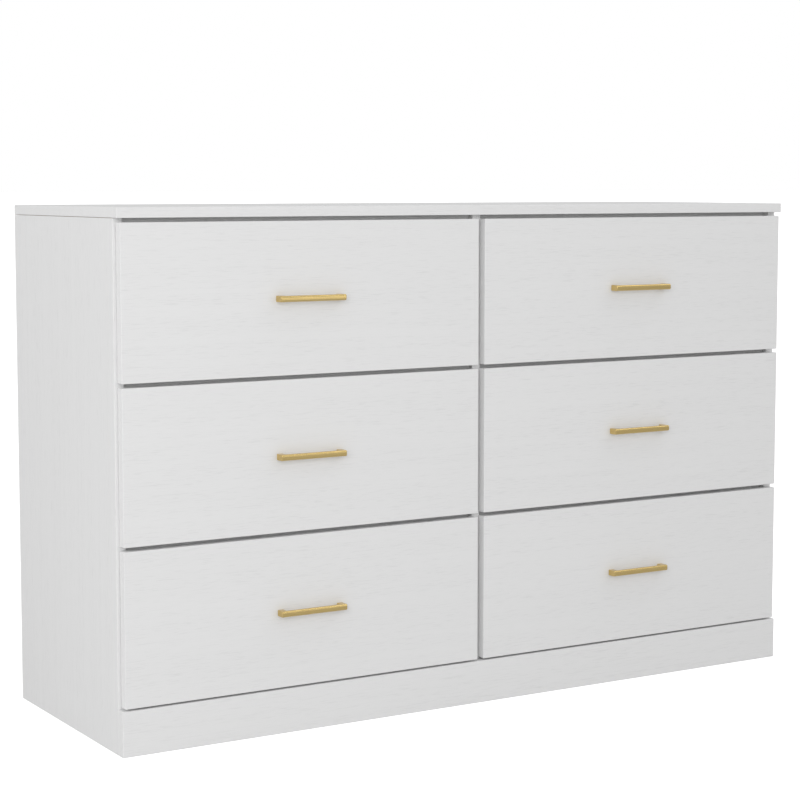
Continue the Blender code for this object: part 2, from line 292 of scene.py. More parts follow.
def pressed_hardboard(tree, place, colours):
    """Wood fibre pressed into a thin brown sheet: a smooth waxy face, faintly mottled, with fine dark flecks.

    Real fibre bundles are under 1 mm wide. These are 2.2 mm wide, so that they show."""
    mottle = add(tree, "TexNoise", {"Vector": stretched(tree, place, 14 * MM), "Scale": 1.0, "Detail": 4.0})
    fibres = add(tree, "TexNoise", {"Vector": stretched(tree, place, 2.2 * MM), "Scale": 1.0, "Detail": 4.0})
    thick = {"Value": fibres.outputs["Fac"], "From Min": 0.50, "From Max": 0.70, "To Max": 0.6}
    bundles = add(tree, "MapRange", thick)
    patches = add(tree, "MapRange", {"Value": mottle.outputs["Fac"], "From Min": 0.3, "From Max": 0.7})
    blend = {0: patches.outputs["Result"], 1: 0.22, 2: bundles.outputs["Result"]}
    shade = add(tree, "Math", blend, operation="MULTIPLY_ADD", use_clamp=True)
    dark = tuple(0.55 * share for share in colours.hardboard)
    mix = {"Factor": shade.outputs[0], MIX_A: rgba(colours.hardboard), MIX_B: rgba(dark)}
    brown = add(tree, "Mix", mix, data_type="RGBA")
    gloss = add(tree, "MapRange", {"Value": mottle.outputs["Fac"], "To Min": 0.45, "To Max": 0.70})
    relief = add(tree, "Bump", {"Height": fibres.outputs["Fac"], "Strength": 0.3, "Distance": 0.08 * MM})
    return surface(brown, gloss, relief)


def lacquered_hardboard(tree, place, colours):
    """Hardboard rolled with white lacquer: half-gloss, with the fibre showing through as a soft ripple."""
    fibres = add(tree, "TexNoise", {"Vector": stretched(tree, place, 1.6 * MM), "Scale": 1.0, "Detail": 3.0})
    veil = add(tree, "MapRange", {"Value": fibres.outputs["Fac"], "From Min": 0.3, "To Max": 0.10})
    mix = {"Factor": veil.outputs["Result"], MIX_A: rgba(colours.lacquer), MIX_B: rgba(colours.hardboard)}
    white = add(tree, "Mix", mix, data_type="RGBA")
    gloss = add(tree, "MapRange", {"Value": fibres.outputs["Fac"], "To Min": 0.34, "To Max": 0.50})
    relief = add(tree, "Bump", {"Height": fibres.outputs["Fac"], "Strength": 0.25, "Distance": 0.06 * MM})
    return surface(white, gloss, relief)


def brushed_gold_plate(tree, place, colours):
    """Cast bar brushed along its length and plated gold: a soft glow, drawn out across fine lines.

    Real brush lines are under 0.1 mm apart. These are 0.45 mm apart, so that they show."""
    brushed = stretched(tree, place, 0.45 * MM, "X", 22 * MM)
    lines = add(tree, "TexNoise", {"Vector": brushed, "Scale": 1.0, "Detail": 3.0})
    film = add(tree, "TexNoise", {"Vector": stretched(tree, place, 18 * MM), "Scale": 1.0, "Detail": 1.0})
    deep = tuple(0.86 * share for share in colours.gold)
    mix = {"Factor": lines.outputs["Fac"], MIX_A: rgba(colours.gold), MIX_B: rgba(deep)}
    metal = add(tree, "Mix", mix, data_type="RGBA")
    blend = {0: film.outputs["Fac"], 1: 0.4, 2: lines.outputs["Fac"]}
    uneven = add(tree, "Math", blend, operation="MULTIPLY_ADD")
    polish = {"Value": uneven.outputs[0], "From Max": 1.4, "To Min": 0.16, "To Max": 0.32}
    gloss = add(tree, "MapRange", polish)
    relief = add(tree, "Bump", {"Height": lines.outputs["Fac"], "Strength": 0.35, "Distance": 0.02 * MM})
    return surface(metal, gloss, relief, {"Metallic": 1.0})


def white_powder_coat(tree, place, colours):
    """White powder baked on sheet steel: half-gloss with the shallow dimples of orange peel."""
    peel = add(tree, "TexNoise", {"Vector": stretched(tree, place, 1.3 * MM), "Scale": 1.0, "Detail": 1.0})
    film = add(tree, "TexNoise", {"Vector": stretched(tree, place, 30 * MM), "Scale": 1.0, "Detail": 2.0})
    thin = tuple(0.93 * share for share in colours.powder)
    mix = {"Factor": film.outputs["Fac"], MIX_A: rgba(colours.powder), MIX_B: rgba(thin)}
    coat = add(tree, "Mix", mix, data_type="RGBA")
    gloss = add(tree, "MapRange", {"Value": film.outputs["Fac"], "To Min": 0.30, "To Max": 0.42})
    relief = add(tree, "Bump", {"Height": peel.outputs["Fac"], "Strength": 0.4, "Distance": 0.08 * MM})
    return surface(coat, gloss, relief)


def moulded_plastic(tree, place, colours, tint):
    """Injection-moulded or extruded plastic in one of the colours: satin, faintly rippled and clouded."""
    base = getattr(colours, tint)
    ripple = add(tree, "TexNoise", {"Vector": stretched(tree, place, 2.5 * MM), "Scale": 1.0, "Detail": 2.0})
    shade = tuple(0.92 * share for share in base)
    mix = {"Factor": ripple.outputs["Fac"], MIX_A: rgba(base), MIX_B: rgba(shade)}
    cloud = add(tree, "Mix", mix, data_type="RGBA")
    gloss = add(tree, "MapRange", {"Value": ripple.outputs["Fac"], "To Min": 0.38, "To Max": 0.52})
    relief = add(tree, "Bump", {"Height": ripple.outputs["Fac"], "Strength": 0.2, "Distance": 0.05 * MM})
    return surface(cloud, gloss, relief, {"Subsurface Weight": 0.08, "Subsurface Scale": 1.0 * MM})


def plated_zinc(tree, place, colours, tint):
    """Zinc, plated on a screw or cast as a cam: a grey metal with a fine crystalline haze."""
    base = getattr(colours, tint)
    crystals = add(tree, "TexVoronoi", {"Vector": stretched(tree, place, 0.8 * MM), "Scale": 1.0})
    haze = add(tree, "SeparateColor", {"Color": crystals.outputs["Color"]})
    dull = tuple(0.80 * share for share in base)
    mix = {"Factor": haze.outputs["Red"], MIX_A: rgba(base), MIX_B: rgba(dull)}
    metal = add(tree, "Mix", mix, data_type="RGBA")
    gloss = add(tree, "MapRange", {"Value": haze.outputs["Green"], "To Min": 0.26, "To Max": 0.45})
    return {"Base Color": metal.outputs[MIX_RESULT], "Metallic": 1.0, "Roughness": gloss.outputs["Result"]}


def studio_floor(tree, place, colours):
    """Matt board under the dresser, very faintly clouded, and lit from behind so that it shows white."""
    clouds = add(tree, "TexNoise", {"Vector": stretched(tree, place, 700 * MM), "Scale": 1.0, "Detail": 2.0})
    gloss = add(tree, "MapRange", {"Value": clouds.outputs["Fac"], "To Min": 0.75, "To Max": 0.90})
    shown = add(tree, "LightPath", {}).outputs["Is Camera Ray"]
    glow = add(tree, "Math", {0: shown, 1: FLOOR_GLOW}, operation="MULTIPLY")
    faint = tuple(0.98 * share for share in colours.floor)
    mix = {"Factor": clouds.outputs["Fac"], MIX_A: rgba(colours.floor), MIX_B: rgba(faint)}
    board = add(tree, "Mix", mix, data_type="RGBA")
    return {
        "Base Color": board.outputs[MIX_RESULT],
        "Roughness": gloss.outputs["Result"],
        "Specular IOR Level": 0.1,
        "Emission Color": (1, 1, 1, 1),
        "Emission Strength": glow.outputs[0],
    }


# Shapes


def block(low, high):
    shape = bmesh.new()
    bmesh.ops.create_cube(shape, size=1.0, matrix=Matrix.LocRotScale((low + high) / 2, None, high - low))
    return shape


def run(shape, corners, along):
    """A closed outline, run along a vector to a solid."""
    face = shape.faces.new([shape.verts.new(corner) for corner in corners])
    grown = bmesh.ops.extrude_face_region(shape, geom=[face])
    moved = [part for part in grown["geom"] if isinstance(part, bmesh.types.BMVert)]
    bmesh.ops.translate(shape, verts=moved, vec=along)
    bmesh.ops.recalc_face_normals(shape, faces=shape.faces)
    return shape


def grooved_block(low, high, into, along, groove, depth):
    """A block with one groove, running its full length, in the face that looks in the direction into.

    groove is the pair of limits between which it lies on the third axis."""
    face = max(range(3), key=lambda i: abs(into[i]))
    length_axis = "XYZ".index(along)
    across = 3 - face - length_axis
    near, far = (high, low) if into[face] > 0 else (low, high)
    floor = near[face] - into[face] * depth
    outline = [
        (far[face], low[across]),
        (near[face], low[across]),
        (near[face], groove[0]),
        (floor, groove[0]),
        (floor, groove[1]),
        (near[face], groove[1]),
        (near[face], high[across]),
        (far[face], high[across]),
    ]
    corners = []
    for level, place in outline:
        corner = low.copy()
        corner[face] = level
        corner[across] = place
        corners.append(corner)
    along_vector = Vector((0, 0, 0))
    along_vector[length_axis] = high[length_axis] - low[length_axis]
    return run(bmesh.new(), corners, along_vector)


def flat_region(shape, normal, level):
    """The faces that look along normal at one level, with their edges and corners."""
    faces = [
        face
        for face in shape.faces
        if face.normal.dot(normal) > 0.99 and abs(face.calc_center_median().dot(normal) - level) < NEAR
    ]
    edges = {edge for face in faces for edge in face.edges}
    return faces, list(edges), list({vert for edge in edges for vert in edge.verts})


def mark_out(shape, normal, level, limits):
    """Cuts the outline of a rectangle into a flat face and gives the faces inside it.

    limits holds an (axis, lowest, highest) for each of its two directions."""
    for axis, lowest, highest in limits:
        for place in (lowest, highest):
            faces, edges, verts = flat_region(shape, normal, level)
            cut = faces + edges + verts
            bmesh.ops.bisect_plane(shape, geom=cut, dist=NEAR / 10, plane_co=axis * place, plane_no=axis)
    return [
        face
        for face in flat_region(shape, normal, level)[0]
        if all(lowest < face.calc_center_median().dot(axis) < highest for axis, lowest, highest in limits)
    ]


def sink(shape, normal, level, limits, depth):
    """Sinks a rectangle of a flat face by depth, or raises it where depth is negative."""
    return lower(shape, mark_out(shape, normal, level, limits), -normal * depth)


def pierce(shape, axis, limits):
    """Cuts a rectangular hole right through a board, along axis."""
    rims = []
    for normal in (axis, -axis):
        level = max(vert.co.dot(normal) for vert in shape.verts)
        inside = mark_out(shape, normal, level, limits)
        rims += {edge for face in inside for edge in face.edges}
        bmesh.ops.delete(shape, geom=inside, context="FACES_ONLY")
    bmesh.ops.bridge_loops(shape, edges=rims)
    bmesh.ops.recalc_face_normals(shape, faces=shape.faces)


def lower(shape, faces, shift):
    """Moves some faces by a vector, with walls in their wake and nothing left where they were."""
    grown = bmesh.ops.extrude_face_region(shape, geom=faces)
    moved = [part for part in grown["geom"] if isinstance(part, bmesh.types.BMVert)]
    bmesh.ops.translate(shape, verts=moved, vec=shift)
    bmesh.ops.delete(shape, geom=faces, context="FACES")
    return moved


def round_off(shape, edges, radius, segments=3):
    bmesh.ops.bevel(
        shape, geom=edges, offset=radius, segments=segments, profile=0.5, affect="EDGES", material=-1
    )


def upright_edges(shape):
    return [edge for edge in shape.edges if abs(edge.verts[0].co.z - edge.verts[1].co.z) > NEAR]


def sides_touched(point, low, high):
    """How many sides of a block a point lies on."""
    return sum(min(abs(point[i] - low[i]), abs(point[i] - high[i])) < NEAR for i in range(3))


def finish_board(shape, low, high, raw, radius):
    """Gives a board's faces their foil, edge band or sawn edge, and rounds what is banded."""
    thin = min(range(3), key=lambda i: high[i] - low[i])
    for face in shape.faces:
        if not sides_touched(face.calc_center_median(), low, high):
            face.material_index = RAW
        elif abs(face.normal[thin]) > 0.9:
            face.material_index = FACE
        elif any(face.normal.dot(direction) > 0.9 for direction in raw):
            face.material_index = RAW
        else:
            face.material_index = BAND
    banded = [
        edge
        for edge in shape.edges
        if sides_touched((edge.verts[0].co + edge.verts[1].co) / 2, low, high) > 1
        and all(face.material_index != RAW for face in edge.link_faces)
    ]
    round_off(shape, banded, radius)


def folded_sheet(corners, along, thickness, bend):
    """Sheet steel rolled to a profile: a line through corners, run along a vector, bent and thickened."""
    shape = bmesh.new()
    verts = [shape.verts.new(corner) for corner in corners]
    edges = [shape.edges.new(pair) for pair in zip(verts, verts[1:])]
    grown = bmesh.ops.extrude_edge_only(shape, edges=edges)
    moved = [part for part in grown["geom"] if isinstance(part, bmesh.types.BMVert)]
    bmesh.ops.translate(shape, verts=moved, vec=along)
    bmesh.ops.recalc_face_normals(shape, faces=shape.faces)
    round_off(shape, [edge for edge in shape.edges if len(edge.link_faces) == 2], bend)
    bmesh.ops.solidify(shape, geom=shape.faces[:], thickness=thickness)
    bmesh.ops.recalc_face_normals(shape, faces=shape.faces)
    return shape


def turned(profile, steps=24):
    """A solid turned about +Z from (radius, height) points that start and end on the axis."""
    shape = bmesh.new()
    verts = [shape.verts.new((radius, 0.0, height)) for radius, height in profile]
    edges = [shape.edges.new(pair) for pair in zip(verts, verts[1:])]
    full_turn = {"axis": Z, "cent": Vector((0, 0, 0)), "angle": math.tau, "steps": steps, "use_merge": True}
    bmesh.ops.spin(shape, geom=verts + edges, **full_turn)
    bmesh.ops.remove_doubles(shape, verts=shape.verts, dist=NEAR / 10)
    bmesh.ops.recalc_face_normals(shape, faces=shape.faces)
    return shape


def cross_recess(shape, radius, width, depth):
    """Sinks a tapered cross into the flat top of a turned head."""
    level = max(vert.co.z for vert in shape.verts)
    fan = flat_region(shape, Z, level)[0]
    top = bmesh.ops.dissolve_faces(shape, faces=fan)["region"][0]
    rim = max(vert.co.xy.length for vert in top.verts)
    bmesh.ops.inset_region(shape, faces=[top], thickness=rim - radius)
    inner = [top]
    for axis in (X, Y):
        for side in (-1, 1):
            edges = list({edge for face in inner for edge in face.edges})
            verts = list({vert for edge in edges for vert in edge.verts})
            plane = {"plane_co": axis * side * width / 2, "plane_no": axis, "dist": NEAR / 10}
            bmesh.ops.bisect_plane(shape, geom=inner + edges + verts, **plane)
            inner = [face for face in flat_region(shape, Z, level)[0] if in_disc(face, radius)]
    cross = [face for face in inner if min(abs(c) for c in face.calc_center_median().xy) < width / 2]
    moved = lower(shape, cross, -Z * depth)
    bmesh.ops.scale(shape, vec=(0.7, 0.7, 1.0), verts=moved)
    return shape


def in_disc(face, radius):
    return all(vert.co.xy.length < radius + NEAR for vert in face.verts)


def pattern(name, shape):
    """A small shape kept as a mesh, to be stamped many times."""
    mesh = bpy.data.meshes.new(name)
    shape.to_mesh(mesh)
    shape.free()
    return mesh


def stamp(shape, mesh, place, direction):
    """Adds a copy of a pattern to shape, with its +Z turned to direction."""
    count = len(shape.verts)
    shape.from_mesh(mesh)
    turn = direction.to_track_quat("Z", "Y").to_matrix().to_4x4()
    bmesh.ops.transform(shape, matrix=Matrix.Translation(place) @ turn, verts=shape.verts[count:])


# Pieces


def piece(name, shape, finishes, body, smooth_below=35.0):
    """A finished shape as an object at the origin that rides on its body."""
    mesh = bpy.data.meshes.new(name)
    shape.to_mesh(mesh)
    shape.free()
    for made in finishes:
        mesh.materials.append(made)
    mesh.shade_smooth()
    mesh.set_sharp_from_angle(angle=math.radians(smooth_below))
    made = bpy.data.objects.new(name, mesh)
    bpy.context.scene.collection.objects.link(made)
    even = made.modifiers.new("even_normals", "WEIGHTED_NORMAL")
    even.keep_sharp = True
    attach(made, body)
    return made


def stand_in(node, shape, *finishes):
    """A finished shape that is shown in a frame node's place, and takes its body from it."""
    made = piece(f"finished_{node}", shape, finishes, frame["nodes"][node]["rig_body"])
    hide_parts(node)
    return made


def shift_grain(made, low):
    """Gives a board its own stretch of the grain pattern, so that neighbours don't run on into each other."""
    attribute = made.data.attributes.new("board_shift", "FLOAT_VECTOR", "POINT")
    shift = Vector((low.x * 3.1 + low.z * 1.7, low.x * 0.9, low.z * 2.3))
    for value in attribute.data:
        value.vector = shift


def foils(along):
    """The finishes of a wood-grain board: its faces, its edge bands and its sawn edges."""
    return [finish(wood_grain_melamine, along), finish(wood_grain_melamine, along), finish(sawn_chipboard)]


def foiled_board(node, along, raw=(), shape=None):
    """A wood-grain board in a node's place. raw lists the directions in which its edges are sawn."""
    low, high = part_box(node)
    shape = shape or block(low, high)
    finish_board(shape, low, high, raw, bpy.context.scene.dresser_sizes.band_rounding)
    shift_grain(stand_in(node, shape, *foils(along)), low)


def lacquered_sheet(node, inside):
    """A hardboard sheet in a node's place, with lacquer on the face that looks inside."""
    lacquered, bare = 0, 1
    shape = block(*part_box(node))
    for face in shape.faces:
        face.material_index = lacquered if face.normal.dot(inside) > 0.9 else bare
    stand_in(node, shape, finish(lacquered_hardboard), finish(pressed_hardboard))


def fastened(name, body, tint, mesh, places):
    """Like fasteners of one body as one piece. places holds the point and the outward direction of each."""
    shape = bmesh.new()
    for place, direction in places:
        stamp(shape, mesh, place, direction)
    piece(name, shape, [finish(plated_zinc, tint)], body)


def pan_head(radius):
    profile = [(0, 0), (radius, 0), (radius, 0.4 * MM), (0.9 * radius, 0.9 * MM), (0.72 * radius, 1.25 * MM)]
    profile += [(0.6 * radius, 1.35 * MM), (0, 1.35 * MM)]
    return pattern("pan_head", cross_recess(turned(profile), 0.45 * radius, 0.22 * radius, 0.9 * MM))


def flush_head(radius):
    profile = [(0, 0), (radius, 0), (radius, 0.05 * MM), (0.94 * radius, 0.12 * MM), (0, 0.12 * MM)]
    return pattern("flush_head", cross_recess(turned(profile), 0.55 * radius, 0.24 * radius, 0.1 * MM))


def cam_face(radius):
    profile = [(0, 0), (radius, 0), (radius, 0.25 * MM), (0.95 * radius, 0.4 * MM), (0.6 * radius, 0.4 * MM)]
    profile += [(0.56 * radius, 0.2 * MM), (0, 0.2 * MM)]
    return pattern("cam_face", turned(profile, steps=32))


def roller_shape(radius, half_width):
    """A nylon roller, with a ring sunk in each face and its rims chamfered."""
    ring, chamfer = 0.8 * MM, 0.5 * MM
    half = [(0, half_width), (0.42 * radius, half_width), (0.5 * radius, half_width - ring)]
    half += [(0.55 * radius, half_width - ring), (0.62 * radius, half_width)]
    half += [(radius - chamfer, half_width), (radius, half_width - chamfer)]
    return pattern("roller", turned(half + [(r, -z) for r, z in reversed(half)], 32))


def riveted_pin(reach):
    """The axle of a channel's roller, with a riveted head past the roller's face."""
    profile = [(0, 0), (AXLE_RADIUS, 0), (AXLE_RADIUS, reach + 0.1 * MM), (RIVET_RADIUS, reach + 0.1 * MM)]
    profile += [(0.8 * RIVET_RADIUS, reach + 0.8 * MM), (0, reach + 0.9 * MM)]
    return pattern("riveted_pin", turned(profile, steps=16))


def plain_pin(reach):
    """The axle of a rail's roller, with a coned end."""
    profile = [(0, 0), (AXLE_RADIUS, 0), (AXLE_RADIUS, reach + 0.1 * MM)]
    profile += [(1.2 * MM, reach + 0.5 * MM), (0, reach + 0.5 * MM)]
    return pattern("plain_pin", turned(profile, steps=16))


def rail_place(body, side):
    """Turns a slide's own measures to a place: depth from the wall, y, and height over its centre line."""
    low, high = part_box(rail_node(body, side))
    towards = -SIDES[side]
    wall = low.x if towards > 0 else high.x
    centre = (low.z + high.z) / 2
    return lambda depth, y, height: Vector((wall + towards * depth, y, centre + height))


def rail_node(body, side):
    return body.replace("drawer", "runner") + "_" + side


# Operators


class DRESSER_OT_panels(bpy.types.Operator):
    """Build the top, sides, divider, bottom and plinth"""

    bl_idname = "dresser.panels"
    bl_label = "Panels"

    def execute(self, context):
        play = context.scene.dresser_sizes.groove_play
        sheet_low, sheet_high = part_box("back_panel_right")
        groove = (sheet_low.y - play, sheet_high.y + play)

        low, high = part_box("top_panel")
        reach = sheet_high.x + play
        limits = [(X, -reach, reach), (Y, *groove)]
        top = block(low, high)
        sink(top, -Z, -low.z, limits, sheet_high.z + play - low.z)
        foiled_board("top_panel", "X", [Y], top)

        for side, sign in SIDES.items():
            low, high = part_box(f"side_panel_{side}")
            inner = low.x if sign > 0 else high.x
            depth = reach - abs(inner)
            wall = grooved_block(low, high, -sign * X, "Z", groove, depth)
            foiled_board(f"side_panel_{side}", "Z", [Y, Z, -Z], wall)

        foiled_board("centre_divider", "Z", [Y, Z, -Z], self.divider())
        for bar in CROSSBARS:
            foiled_board(bar, "X", [X, -X])
        foiled_board("bottom_panel", "X", [Y, X, -X])
        foiled_board("plinth_front", "X", [-Z])
        foiled_board("plinth_rear", "X", [X, -X, -Z])
        self.plinth_centre()
        return {"FINISHED"}

    def divider(self):
        """The divider, notched for the top crossbar and with a mortise for each of the others."""
        low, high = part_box("centre_divider")
        spans = [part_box(bar) for bar in CROSSBARS]
        front, rear = spans[-1][0].y - SEAT, spans[-1][1].y + SEAT
        foot = spans[-1][0].z - SEAT
        outline = [(low.y, low.z), (high.y, low.z), (high.y, high.z), (rear, high.z)]
        outline += [(rear, foot), (front, foot), (front, high.z), (low.y, high.z)]
        shape = run(bmesh.new(), [Vector((low.x, y, z)) for y, z in outline], X * (high.x - low.x))
        for bar_low, bar_high in spans[:-1]:
            pierce(shape, X, [(Y, front, rear), (Z, bar_low.z - SEAT, bar_high.z + SEAT)])
        return shape

    def plinth_centre(self):
        """The short board that holds the bottom panel up in the middle, between the plinth's two boards."""
        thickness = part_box("centre_divider")[1].x
        low = Vector((-thickness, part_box("plinth_front")[1].y + SEAT, 0))
        high = Vector((thickness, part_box("plinth_rear")[0].y - SEAT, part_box("plinth_rear")[1].z))
        shape = block(low, high)
        finish_board(shape, low, high, [Y, -Y, -Z], bpy.context.scene.dresser_sizes.band_rounding)
        shift_grain(piece("plinth_centre", shape, foils("Y"), CARCASS), low)


class DRESSER_OT_back(bpy.types.Operator):
    """Build the back sheets, the strip that joins them and their nails"""

    bl_idname = "dresser.back"
    bl_label = "Back"

    def execute(self, context):
        sizes = context.scene.dresser_sizes
        nail = pattern("nail_head", turned([(0, 0), (1.9 * MM, 0), (1.7 * MM, 0.4 * MM), (0, 0.55 * MM)], 12))
        places = []
        for side in SIDES:
            low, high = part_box(f"back_panel_{side}")
            lacquered_sheet(f"back_panel_{side}", -Y)
            panel_low, panel_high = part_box("bottom_panel")
            level = (panel_low.z + panel_high.z) / 2
            for i in range(sizes.nails):
                share = i / (sizes.nails - 1)
                x = low.x + NAIL_MARGIN + share * (high.x - low.x - 2 * NAIL_MARGIN)
                places.append((Vector((x, high.y, level)), Y))
        fastened("back_sheet_nails", CARCASS, "zinc", nail, places)

        left_high, right_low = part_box("back_panel_left")[1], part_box("back_panel_right")[0]
        play = sizes.groove_play
        front, rear = right_low.y - play, left_high.y + play
        web, wide = right_low.x - play, sizes.strip_width / 2
        half = [(wide, front - sizes.strip_flange), (wide, front), (web, front)]
        half += [(web, rear), (wide, rear), (wide, rear + sizes.strip_flange)]
        foot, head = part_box("bottom_panel")[1].z + SEAT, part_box("top_panel")[0].z - SEAT
        outline = [Vector((x, y, foot)) for x, y in half + [(-x, y) for x, y in reversed(half)]]
        strip = run(bmesh.new(), outline, Z * (head - foot))
        round_off(strip, upright_edges(strip), 0.25 * sizes.strip_flange)
        piece("back_joining_strip", strip, [finish(moulded_plastic, "strip")], CARCASS)
        return {"FINISHED"}


class DRESSER_OT_fronts(bpy.types.Operator):
    """Build the drawer fronts, each with the groove that takes its drawer's bottom"""

    bl_idname = "dresser.fronts"
    bl_label = "Drawer fronts"

    def execute(self, context):
        play = context.scene.dresser_sizes.groove_play
        for body in DRAWERS:
            low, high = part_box(f"{body}_front")
            sheet_low, sheet_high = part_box(f"{body}_bottom")
            shape = block(low, high)
            limits = [(X, sheet_low.x - play, sheet_high.x + play)]
            limits += [(Z, sheet_low.z - play, sheet_high.z + play)]
            sink(shape, Y, high.y, limits, high.y - sheet_low.y + play)
            foiled_board(f"{body}_front", "X", shape=shape)
        return {"FINISHED"}


class DRESSER_OT_boxes(bpy.types.Operator):
    """Build the sides, back and bottom of each drawer"""

    bl_idname = "dresser.boxes"
    bl_label = "Drawer boxes"

    def execute(self, context):
        sizes = context.scene.dresser_sizes
        boards = [finish(plain_melamine), finish(plain_melamine), finish(sawn_chipboard)]
        for body in DRAWERS:
            sheet_low, sheet_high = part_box(f"{body}_bottom")
            groove = (sheet_low.z - sizes.groove_play, sheet_high.z + sizes.groove_play)
            for side, sign in SIDES.items():
                low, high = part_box(f"{body}_side_{side}")
                sheet_edge = sheet_high.x if sign > 0 else sheet_low.x
                inner = low.x if sign > 0 else high.x
                depth = sign * (sheet_edge - inner) + sizes.groove_play
                shape = grooved_block(low, high, -sign * X, "Y", groove, depth)
                finish_board(shape, low, high, [Y, -Y, -Z], sizes.box_rounding)
                stand_in(f"{body}_side_{side}", shape, *boards)
            low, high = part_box(f"{body}_back")
            shape = block(low, high)
            finish_board(shape, low, high, [X, -X, -Z], sizes.box_rounding)
            stand_in(f"{body}_back", shape, *boards)
            lacquered_sheet(f"{body}_bottom", Z)
        return {"FINISHED"}


class DRESSER_OT_handles(bpy.types.Operator):
    """Build the gold bar handles"""

    bl_idname = "dresser.handles"
    bl_label = "Handles"

    def execute(self, context):
        sizes = context.scene.dresser_sizes
        for body in DRAWERS:
            low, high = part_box(f"{body}_handle")
            legs = (low.x + sizes.handle_leg, high.x - sizes.handle_leg)
            bar = low.y + sizes.handle_bar
            outline = [(low.x, low.y), (high.x, low.y), (high.x, high.y), (legs[1], high.y), (legs[1], bar)]
            outline += [(legs[0], bar), (legs[0], high.y), (low.x, high.y)]
            shape = run(bmesh.new(), [(x, y, low.z) for x, y in outline], Z * (high.z - low.z))
            inner = [edge for edge in upright_edges(shape) if abs(edge.verts[0].co.y - bar) < NEAR]
            round_off(shape, inner, sizes.handle_fillet, segments=5)
            nose = [edge for edge in shape.edges if self.lies_in_front(edge, low.y)]
            round_off(shape, nose, sizes.handle_nose, segments=6)
            seat = high.y - NEAR
            outer = [
                edge
                for edge in shape.edges
                if edge.calc_face_angle() > 1.0 and any(vert.co.y < seat for vert in edge.verts)
            ]
            round_off(shape, outer, sizes.handle_rounding)
            stand_in(f"{body}_handle", shape, finish(brushed_gold_plate))
        return {"FINISHED"}

    def lies_in_front(self, edge, front):
        """Whether an edge is one of the two long ones on the bar's front."""
        start, end = (vert.co for vert in edge.verts)
        return abs(start.y - front) + abs(end.y - front) < NEAR and abs(start.x - end.x) > NEAR


class DRESSER_OT_slides(bpy.types.Operator):
    """Build the roller slides: a channel on the cabinet and a flanged rail on the drawer for each side"""

    bl_idname = "dresser.slides"
    bl_label = "Slides"

    def execute(self, context):
        sizes = context.scene.dresser_sizes
        self.half_width = sizes.roller_width / 2
        self.roller_depth = sizes.rail_sheet + ROLLER_PLAY + self.half_width
        self.roller = roller_shape(sizes.roller_radius, self.half_width)
        self.screws = {body: [] for body in [CARCASS, *DRAWERS]}
        self.axles = {body: bmesh.new() for body in [CARCASS, *DRAWERS]}
        for body in DRAWERS:
            for side, sign in SIDES.items():
                self.channel(sizes, body, side, -sign * X)
                self.rail(sizes, body, side, -sign * X)
        head = pan_head(sizes.pan_radius)
        for body, places in self.screws.items():
            fastened(f"{body}_slide_screws", body, "zinc", head, places)
            piece(f"{body}_slide_axles", self.axles[body], [finish(plated_zinc, "zinc")], body)
        return {"FINISHED"}

    def channel(self, sizes, body, side, inwards):
        """The C channel on the cabinet, with the roller at its front end."""
        node = rail_node(body, side)
        low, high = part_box(node)
        at = rail_place(body, side)
        depth, half_height = high.x - low.x, (high.z - low.z) / 2
        corners = [(depth, half_height - sizes.rail_lip), (depth, half_height), (0, half_height)]
        corners += [(d, -z) for d, z in reversed(corners)]
        profile = [at(d, low.y, z) for d, z in corners]
        sheet = folded_sheet(profile, Y * (high.y - low.y), sizes.rail_sheet, sizes.rail_bend)
        stand_in(node, sheet, finish(white_powder_coat))

        y = low.y + ROLLER_INSET
        self.add_roller(f"{node}_roller", CARCASS, at(self.roller_depth, y, FRONT_ROLLER), inwards)
        pin = riveted_pin(self.roller_depth + self.half_width - sizes.rail_sheet)
        stamp(self.axles[CARCASS], pin, at(sizes.rail_sheet, y, FRONT_ROLLER), inwards)
        for y in (low.y + 37 * MM, (low.y + high.y) / 2, high.y - 32 * MM):
            self.screws[CARCASS].append((at(sizes.rail_sheet, y, CHANNEL_SCREWS), inwards))

    def rail(self, sizes, body, side, inwards):
        """The flanged rail on the drawer side, with the roller at its rear end."""
        at = rail_place(body, side)
        side_low, side_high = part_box(f"{body}_side_{side}")
        drawer_face = side_high.x if SIDES[side] > 0 else side_low.x
        web_outer = abs(drawer_face - at(0, 0, 0).x) - SEAT
        web_inner = web_outer - sizes.rail_sheet
        start, end = side_low.y + SLIDE_ENDS[0], side_high.y - SLIDE_ENDS[1]
        outline = [
            (start, RAIL_FOOT + 3 * MM),
            (start, RAIL_TOP),
            (end, RAIL_TOP),
            (end, RAIL_TAB),
            (end - TAB_LENGTH, RAIL_TAB),
            (end - TAB_LENGTH - 5 * MM, RAIL_FOOT),
            (start + 3 * MM, RAIL_FOOT),
        ]
        web = run(bmesh.new(), [at(web_outer, y, z) for y, z in outline], -inwards * sizes.rail_sheet)
        level = at(web_inner, 0, 0).dot(-inwards)
        track = at(0, 0, RAIL_TRACK).z
        sink(web, -inwards, level, [(Z, track, track + sizes.rail_sheet)], TRACK_EDGE - web_inner)
        piece(f"{body}_slide_rail_{side}", web, [finish(white_powder_coat)], body)

        y = end - ROLLER_INSET
        self.add_roller(f"{body}_slide_roller_{side}", body, at(self.roller_depth, y, REAR_ROLLER), inwards)
        pin = plain_pin(web_inner - self.roller_depth + self.half_width)
        stamp(self.axles[body], pin, at(web_inner, y, REAR_ROLLER), -inwards)
        for y in (start + 32 * MM, (start + end) / 2, end - 45 * MM):
            self.screws[body].append((at(web_inner, y, RAIL_SCREWS), -inwards))

    def add_roller(self, name, body, place, inwards):
        shape = bmesh.new()
        stamp(shape, self.roller, place, inwards)
        piece(name, shape, [finish(moulded_plastic, "nylon")], body)


